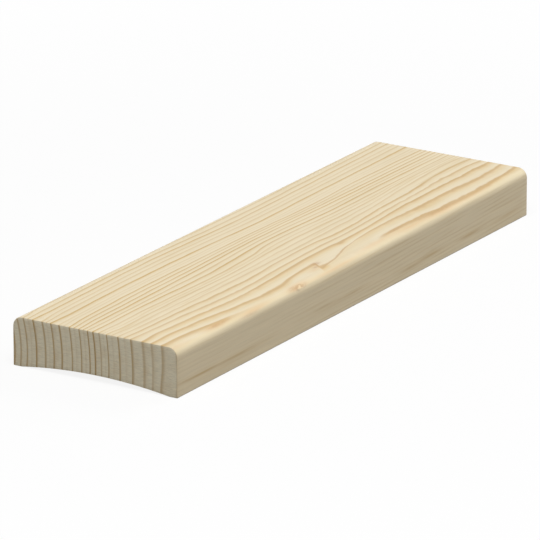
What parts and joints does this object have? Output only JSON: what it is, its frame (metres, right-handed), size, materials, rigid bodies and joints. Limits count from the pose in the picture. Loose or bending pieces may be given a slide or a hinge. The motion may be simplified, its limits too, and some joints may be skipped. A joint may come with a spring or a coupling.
{
  "type": "architrave moulding",
  "caption": "Short straight length of plain timber architrave with rounded front edges, square sides, sawn ends and a shallow hollowed back that bears on a narrow foot along each edge.",
  "frame": {"origin": "centre of the back, half way along the length, on the plane that the feet bear on", "axes": "+X across the face, +Y along the grain and the length, +Z away from the wall, out of the front face"},
  "size_m": [0.056, 0.2, 0.015],
  "materials": {
    "planed_softwood": "planed and unfinished, matt, with the ends as sawn"
  },
  "bodies": {
    "root": {"architrave": "planed_softwood"}
  },
  "joints": []
}
